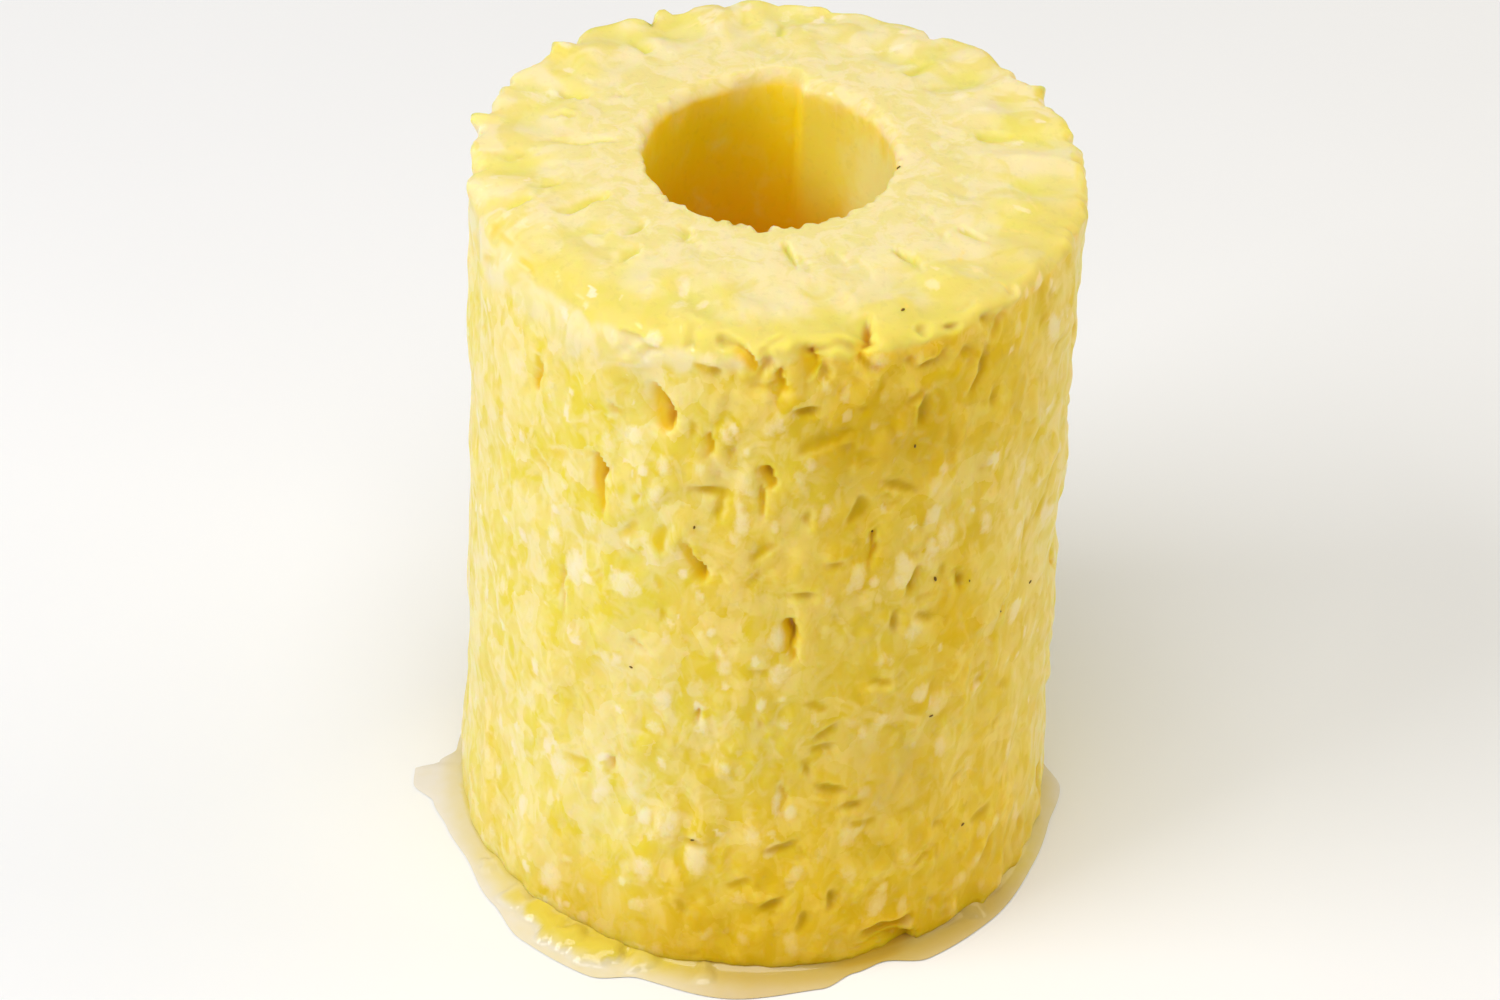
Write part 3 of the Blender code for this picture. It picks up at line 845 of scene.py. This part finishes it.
JUICE_SHADE = (0.62, 0.45, 0.13)
JUICE_CREVICE_SHADE = (0.60, 0.36, 0.004)
CLEAR_EDGE = (0.775, 0.675, 0.135)
WINDOW_SHADE_GOLD = (0.83, 0.62, 0.012)
SEED_DARK = (0.08, 0.045, 0.004)
SEED_BROWN = (0.24, 0.14, 0.015)
FLOOR_DARK = (0.9, 0.93, 0.95)
FLOOR_LIGHT = (0.92, 0.95, 0.97)


def flesh_colour(n):
    """The wall's gold and pale patches, the top's pale flesh, and the torn and soaked places."""
    # painted shade: the mature colours below stand for shade on the right of the shown side, by the foot
    # and under the rim
    ripe = n.mark("ripe")
    gold = n.mix(ripe, GOLD, RIPE_AND_SHADED_GOLD)
    yellow = n.mix(ripe, YELLOW, RIPE_AND_SHADED_YELLOW)
    pale = n.mix(ripe, PALE, RIPE_AND_SHADED_PALE)
    base = n.over(gold, yellow, n.noise(6.0, 1.3, 2.0, 0.5, 1.2), low=0.38, high=0.6)
    base = n.over(base, pale, n.noise(3.4, 1.5, 2.0, 0.55, 1.0, 5.0), low=0.42, high=0.66)
    sheets, _ = n.cells(4.6, 1.2)
    base = n.over(base, gold, sheets, 0.45, low=0.75, high=0.0)
    base = n.over(base, pale, sheets, 0.5, low=0.4)
    base = n.over(base, GREENISH, n.noise(9.0, 1.0, 1.0, 0.5, 0.5, 9.0), 0.15, low=0.5, high=0.66)
    base = n.mix(n.remap(n.mark("tone"), -0.9, 0.0, 0.4, 0.0), base, gold)
    base = n.over(base, pale, n.mark("tone"), 0.45, low=0.1, high=0.9)
    clear = n.remap(n.noise(7.0, 1.0, 2.0, 0.5, 1.0, 2.0), 0.36, 0.56)
    base = n.over(base, n.mix(clear, TOP_CLEAR, TOP_PALE), n.mark("top"), 0.9, high=0.9)
    base = n.over(base, GREENISH, n.mark("streak"), 0.5)
    base = n.over(base, DENT, n.mark("dent"), 0.6)
    base = n.over(base, RIM_GOLD, n.mark("rim"), 0.8)
    base = n.over(base, CLEAR_EDGE, n.mark("edge"), 0.8)
    pulp = n.math("ADD", n.mark("pulp"), n.swing(n.noise(5.0), 0.7), True)
    firm = n.over(PULP_CLEAR, PULP, n.noise(3.6, 1.0, 3.0, 0.6, 0.8, 7.0), low=0.38, high=0.62)
    base = n.over(base, firm, pulp, low=0.05, high=0.75)
    fleck = n.math("ADD", n.mark("fleck"), n.swing(n.noise(1.1, 1.3, 3.0, 0.6, 0.8), 0.7))
    base = n.over(base, n.mix(ripe, FLECK, RIPE_AND_SHADED_FLECK), fleck, 0.9, low=0.15, high=0.95)
    base = n.over(base, pale, n.mark("lip"), 0.6, low=0.1, high=0.9)
    # partly painted shade: a deeper gold where juice seeped in and where shade falls on the right
    base = n.over(base, DEEP_SHADE_GOLD, n.mark("juicy"), 0.5)
    level = n.mark("level")
    # painted shade: past the flakes' free edges the flesh turns deeper gold, and on the top the dent
    # colour
    torn_open_shade = n.mix(level, n.mix(ripe, WINDOW_SHADE_GOLD, DEEP_SHADE_GOLD), DENT)
    base = n.over(base, torn_open_shade, n.mark("window"), 0.9, low=0.05, high=0.6)
    # painted shade: the pits turn gold and then amber with their depth, and so does the line along the
    # foot
    hollow = n.mark("hollow")
    base = n.over(base, n.mix(level, PIT_SHADE_GOLD, DENT), hollow, 0.9, low=0.05, high=0.4)
    base = n.over(base, PIT_SHADE_AMBER, hollow, 0.9, low=0.45)
    return n.over(base, bore_colour(n), n.mark("bore"), 0.95)


def bore_colour(n):
    """The bore's gold, with painted shade deeper further down, and painted light on its lit right wall as
    a lighter patch and pale blotches.
    """
    # painted shade down the bore, painted light on its lit right wall
    bore = n.mix(n.mark("deep"), BORE_HIGH, BORE_DEEP_SHADE)
    bore = n.over(bore, BORE_LIT, n.mark("thin"), 0.8)
    core = n.math("ADD", n.mark("core"), n.swing(n.noise(4.5, 1.3, 3.0, 0.6, 0.5), 1.0))
    return n.over(bore, BORE_LIT_PALE, core, 0.9, high=0.85)


def fibre_bump(n):
    """Fine fibres, flaky lumps and the walls between cells, too small for the mesh."""
    _, from_middle = n.cells(2.2, 1.4)
    fine = n.math("MULTIPLY", n.noise(0.5, 2.0, 3.0, 0.6), 0.06)
    flaky = n.math("MULTIPLY", n.noise(1.8, 1.5, 3.0, 0.6, 1.5, 3.0), 0.6)
    relief = n.math("SUBTRACT", n.math("ADD", fine, flaky), n.math("MULTIPLY", from_middle, 0.35))
    bump = n.add("ShaderNodeBump", {"Strength": 0.18, "Distance": 0.4 * MM, "Height": relief})
    return bump.outputs["Normal"]


def flesh_material():
    """Wet flesh that light passes into, with juice shining on the parts that are seen face on."""
    n = Nodes("wet_pineapple_flesh")
    wet = n.remap(n.noise(1.3, 1.3, 2.0, 0.5, 0.0, 4.0), 0.58, 0.66, 0.0, 0.9)
    seen_flat = n.remap(n.add("ShaderNodeLayerWeight").outputs["Facing"], 0.3, 0.7, 1.0, 0.0)
    return n.finish(
        base_color=flesh_colour(n),
        normal=fibre_bump(n),
        roughness=n.remap(n.noise(2.5, 1.5), 0.3, 0.7, 0.3, 0.5),
        coat_weight=n.math("MULTIPLY", wet, seen_flat),
        coat_roughness=0.09,
        coat_ior=1.4,
        subsurface_weight=1.0,
        subsurface_radius=(1.0, 0.62, 0.12),
        subsurface_scale=3.0 * MM,
        ior=1.45,
        specular_ior_level=0.25,
        specular_tint=(1.0, 0.88, 0.42),
    )


def seed_material():
    """Dark brown specks, a little shiny."""
    n = Nodes("dark_seed")
    return n.finish(
        base_color=n.mix(n.noise(0.3), SEED_DARK, SEED_BROWN),
        roughness=n.remap(n.noise(0.2), 0.3, 0.7, 0.35, 0.55),
        specular_ior_level=0.15,
    )


def juice_material():
    """Glossy juice: milky where thin, golden where thick or by the fruit, with painted shade on the right
    and amber painted shade in the crevice at the recess.
    """
    n = Nodes("thin_juice")
    thick = n.math("ADD", n.mark("thick"), n.swing(n.noise(2.5), 0.3), True)
    base = n.mix(thick, JUICE, JUICE_DEEP)
    base = n.over(base, JUICE_SHADE, n.mark("shade"), 0.8)
    # painted shade in the crevice at the foot's recess
    base = n.over(base, JUICE_CREVICE_SHADE, n.mark("recess"), 0.75)
    return n.finish(
        base_color=base,
        roughness=n.remap(n.noise(4.0), 0.3, 0.7, 0.08, 0.18),
        alpha=JUICE_ALPHA,
        ior=1.35,
        coat_weight=0.4,
        coat_roughness=0.04,
    )


def floor_material():
    n = Nodes("pale_floor")
    return n.finish(base_color=n.mix(n.noise(60.0), FLOOR_DARK, FLOOR_LIGHT), roughness=0.7)


def add_flesh():
    """The whole body of fruit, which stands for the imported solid."""
    ring = Ring()
    out, up, marks = flesh_fields(ring)
    places = flesh_places(ring, out, up)
    flesh = place_piece("flesh", marked_mesh("flesh", places, marks), flesh_material())
    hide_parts("pineapple_flesh")
    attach(flesh, "root")
    return ring, places


def seed_ball(rng, size):
    """The points and faces of one small seed, longer than wide and a little dented."""
    around, along = 7, 5
    points = []
    for step in range(along + 1):
        tilt = math.pi * step / along
        for turn in np.arange(around) * 2.0 * math.pi / around:
            dent = rng.uniform(0.85, 1.1)
            points.append((size * 0.55 * dent * math.sin(tilt) * math.cos(turn),
                           size * 0.4 * dent * math.sin(tilt) * math.sin(turn),
                           size * math.cos(tilt)))
    faces = []
    for step in range(along):
        for side in range(around):
            other = (side + 1) % around
            faces.append((step * around + side, (step + 1) * around + side,
                          (step + 1) * around + other, step * around + other))
    return np.array(points), faces


def add_seeds(ring, places):
    """Small dark seeds half sunk in the flesh: those that show, and others on the side turned away."""
    rng = np.random.default_rng(SEED_DRAW)
    spots = list(SHOWN_SEEDS)
    for _ in range(HIDDEN_SEEDS):
        spots.append((rng.uniform(0.0, 180.0), rng.uniform(4.0, HEIGHT - 4.0)))
    points, faces = [], []
    for degrees, walk in spots:
        row = int(np.argmin(np.abs(ring.walk[:, 0] - walk)))
        column = int(np.argmin(np.abs(turn_between(ring.angle[0], math.radians(degrees)))))
        around = places[:, (column + 1) % COLUMNS] - places[:, column]
        normal = np.cross(around[row], places[row + 1, column] - places[row - 1, column])
        normal = normal / np.linalg.norm(normal)
        size = rng.uniform(*SEED_SIZES)
        ball, ball_faces = seed_ball(rng, size)
        across = np.cross(normal, rng.uniform(-1.0, 1.0, 3))
        across = across / np.linalg.norm(across)
        frame_of_seed = np.stack([np.cross(across, normal), normal, across])
        start = sum(len(p) for p in points)
        points.append(ball @ frame_of_seed + places[row, column] + 0.1 * size * normal)
        faces += [tuple(start + corner for corner in face) for face in ball_faces]
    mesh = bpy.data.meshes.new("seeds")
    mesh.from_pydata((np.concatenate(points) * MM).tolist(), [], faces)
    shape = bmesh.new()
    shape.from_mesh(mesh)
    bmesh.ops.remove_doubles(shape, verts=shape.verts, dist=1e-6)
    bmesh.ops.recalc_face_normals(shape, faces=shape.faces)
    shape.to_mesh(mesh)
    shape.free()
    mesh.shade_smooth()
    seeds = place_piece("seeds", mesh, seed_material())
    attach(seeds, "root")


def juice_lumps(angle, radius):
    """How high the thick juice stands over the film: low uneven domes that run together."""
    total = 0.0
    for number, (degrees, far, width, height) in enumerate(JUICE_LUMPS):
        x = radius * np.cos(angle) - far * math.cos(math.radians(degrees))
        y = radius * np.sin(angle) - far * math.sin(math.radians(degrees))
        turn = np.arctan2(y, x)
        round_lump = 2.0 + 1.3 * np.cos(turn), 2.0 + 1.3 * np.sin(turn)
        uneven = 1.0 + 0.4 * soft_noise(*round_lump, 3.0 * number, 12)
        dome = np.clip(1.0 - (x * x + y * y) / (width * uneven) ** 2, 0.0, 1.0)
        total = total + (height * dome ** 0.6) ** 3
    return np.cbrt(total)


def juice_edge(angle):
    """How far from the middle the juice ends, smooth between the named places."""
    degrees, far = np.array(JUICE_EDGE).T
    turn = np.degrees(turn_between(angle, 0.0))
    after = np.clip(np.searchsorted(degrees, turn, side="right"), 1, len(degrees) - 1)
    share = ease(0.0, 1.0, (turn - degrees[after - 1]) / (degrees[after] - degrees[after - 1]))
    return far[after - 1] + share * (far[after] - far[after - 1])


def add_juice():
    """A thin pool of juice round the foot: a film that thins to its edge and is drawn up by the fruit."""
    angle = (np.arange(JUICE_COLUMNS) * 2.0 * math.pi / JUICE_COLUMNS)[None, :]
    edge = juice_edge(angle)
    share = 1.0 - (1.0 - np.linspace(0.0, 1.0, JUICE_ROWS)[:, None]) ** 1.6
    inner = OUTER_RADIUS - JUICE_UNDER
    radius = inner + share * (edge - inner)
    lumps = juice_lumps(angle, radius)
    height = JUICE_FILM * (1.0 - share ** 2) + lumps
    height = height + JUICE_RISE * np.exp(-np.maximum(radius - JUICE_SHORE, 0.0) / 0.6) * (1.0 - share)
    height[-1, :] = 0.0
    front = fade(32.0, 92.0, degrees_from(angle, -78.0))
    thick = (0.45 + 0.55 * front) * (1.0 - (1.0 - 0.3 * front) * ease(45.6, 50.5, radius))
    thick = np.maximum(thick, ease(0.0, 1.0, lumps) * (1.0 - 0.3 * ease(48.5, 51.5, radius)))
    thick = np.maximum(thick, 0.9 * fade(45.2, 46.6, radius))
    # painted shade: the juice is darker on the right, where the fruit's shadow falls, and amber in the
    # crevice at the recess by the foot
    right = fade(22.0, 50.0, degrees_from(angle, -64.0))
    shade = right * (1.0 - 0.35 * ease(45.5, 49.5, radius))
    recess = fade(3.0, 13.0, degrees_from(angle, -65.0)) * fade(45.3, 47.2, radius)
    # The film's rows run along the floor to the edge, and back over the top
    fields = (radius, thick, shade, recess)
    radius, thick, shade, recess = (np.concatenate([field, field[::-1][1:]]) for field in fields)
    height = np.concatenate([np.zeros((JUICE_ROWS - 1, JUICE_COLUMNS)), height[::-1]])
    centre = np.broadcast_to(angle, radius.shape)
    places = np.stack([radius * np.cos(centre), radius * np.sin(centre), height], axis=-1)
    mesh = marked_mesh("juice", places, {"thick": thick, "shade": shade, "recess": recess})
    mesh.set_sharp_from_angle(angle=math.radians(80.0))
    juice = place_piece("juice", mesh, juice_material())
    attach(juice, "root")


FLOOR_HALF = 3.0
FLOOR_GAP = 0.0002


def add_floor():
    """A plain pale floor under the fruit, a hair's breadth below it."""
    half = FLOOR_HALF
    mesh = bpy.data.meshes.new("floor")
    corners = [(-half, -half), (half, -half), (half, half), (-half, half)]
    mesh.from_pydata([(x, y, -FLOOR_GAP) for x, y in corners], [], [(0, 1, 2, 3)])
    floor = place_piece("floor", mesh, floor_material())


# The photograph's view, measured from its outline; these sizes are metres and pixels
CAMERA_ELEVATION = math.radians(37.7)
CAMERA_ROLL = math.radians(-2.68)
CAMERA_DISTANCE = 0.7875
CAMERA_LENS = 125.06
SENSOR_WIDTH = 36.0
PHOTO_WIDTH = 1500
OBJECT_RIGHT_OF_MIDDLE = 15.2
OBJECT_ABOVE_MIDDLE = 16.9
AIM_HEIGHT = 0.0585


def add_camera():
    """A long lens from the front and above, rolled a little as the photograph is."""
    metres_per_pixel = CAMERA_DISTANCE * SENSOR_WIDTH / CAMERA_LENS / PHOTO_WIDTH
    turn = Matrix.Rotation(math.radians(90.0) - CAMERA_ELEVATION, 4, "X")
    turn = turn @ Matrix.Rotation(-CAMERA_ROLL, 4, "Z")
    aside = OBJECT_RIGHT_OF_MIDDLE * metres_per_pixel
    below = OBJECT_ABOVE_MIDDLE * metres_per_pixel
    place = Vector((0.0, 0.0, AIM_HEIGHT)) + turn @ Vector((-aside, -below, CAMERA_DISTANCE))
    data = bpy.data.cameras.new("camera")
    data.lens = CAMERA_LENS
    data.sensor_width = SENSOR_WIDTH
    data.clip_start = 0.01
    camera = bpy.data.objects.new("camera", data)
    camera.matrix_world = Matrix.Translation(place) @ turn
    bpy.context.scene.collection.objects.link(camera)
    bpy.context.scene.camera = camera


# Soft square lights by azimuth, elevation, side in metres, power and colour; azimuth 0 is the shown side
Light = namedtuple("Light", "name azimuth elevation side power colour")
LIGHTS = (
    Light("key", -65.0, 40.0, 0.6, 7.1, (1.0, 0.97, 1.0)),
    Light("overhead", -10.0, 72.0, 0.7, 6.5, (1.0, 0.97, 1.0)),
    Light("fill", 106.0, 28.0, 0.9, 4.6, (1.0, 0.88, 0.66)),
)
LIGHT_DISTANCE = 1.2
SKY_COLOUR = (1.0, 0.96, 0.88, 1.0)
SKY_STRENGTH = 0.3


def add_lights():
    """The lights, all aimed at the fruit's middle, and a faint even sky."""
    for plan in LIGHTS:
        data = bpy.data.lights.new(plan.name, "AREA")
        data.shape = "SQUARE"
        data.size = plan.side
        data.energy = plan.power
        data.color = plan.colour
        light = bpy.data.objects.new(plan.name, data)
        turn, tilt = math.radians(plan.azimuth - 90.0), math.radians(plan.elevation)
        way = Vector((math.cos(tilt) * math.cos(turn), math.cos(tilt) * math.sin(turn), math.sin(tilt)))
        light.location = way * LIGHT_DISTANCE + Vector((0.0, 0.0, AIM_HEIGHT))
        light.rotation_euler = way.to_track_quat("Z", "Y").to_euler()
        bpy.context.scene.collection.objects.link(light)
    world = bpy.data.worlds.new("studio")
    world.use_nodes = True
    background = world.node_tree.nodes["Background"]
    background.inputs["Color"].default_value = SKY_COLOUR
    background.inputs["Strength"].default_value = SKY_STRENGTH
    bpy.context.scene.world = world
    bpy.context.scene.view_settings.view_transform = "Standard"


ring, places = add_flesh()
add_seeds(ring, places)
add_juice()
add_floor()
add_lights()
add_camera()
